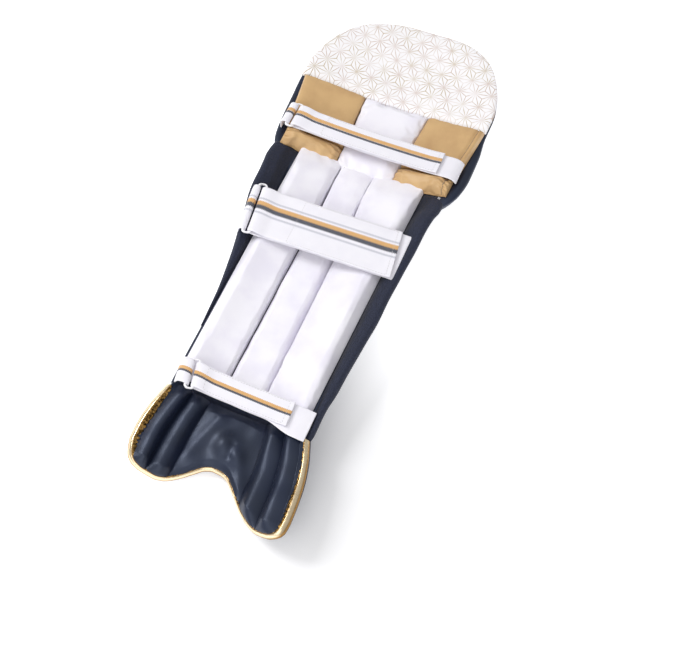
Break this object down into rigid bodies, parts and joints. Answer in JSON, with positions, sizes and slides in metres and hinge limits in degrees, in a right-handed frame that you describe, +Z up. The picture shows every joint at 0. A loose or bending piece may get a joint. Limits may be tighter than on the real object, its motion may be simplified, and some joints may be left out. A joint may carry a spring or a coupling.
{
  "type": "cricket batting pad",
  "caption": "Padded leg guard lying on its front: knee dome, padded knee and shin linings, side flaps, notched instep flap with binding, and webbing straps fastened across the leg side.",
  "frame": {"origin": "middle of the underside of the box round the pad, on the surface it lies on", "axes": "+X across the pad from the ring side to the sewn side of the straps, +Y along the pad from the instep to the knee dome, +Z up from the surface to the leg side"},
  "size_m": [0.26, 0.711, 0.0709],
  "materials": {
    "navy_cover": "smooth coated navy",
    "navy_cloth": "matt navy weave",
    "white_cloth": "matt white",
    "printed_cloth": "white with a fine line pattern",
    "tan_leather": "satin tan",
    "gold_cover": "metallic gold",
    "webbing": "white webbing with woven stripes",
    "white_plastic": "gloss white"
  },
  "bodies": {
    "root": {"front_shell": "navy_cover", "hat_lining": "printed_cloth", "knee_panel": "white_cloth", "knee_pad_left": "tan_leather", "knee_pad_right": "tan_leather", "knee_roll_left": "tan_leather", "knee_roll_right": "tan_leather", "bolster_left": "white_cloth", "bolster_centre": "white_cloth", "bolster_right": "white_cloth", "wing_left": "navy_cloth", "wing_right": "navy_cloth", "instep": "navy_cover", "instep_binding": "gold_cover", "knee_strap": "webbing", "knee_tab": "webbing", "knee_ring": "white_plastic", "calf_strap": "webbing", "calf_tab": "webbing", "calf_ring": "white_plastic", "ankle_strap": "webbing", "ankle_tab": "webbing", "ankle_ring": "white_plastic"}
  },
  "joints": []
}
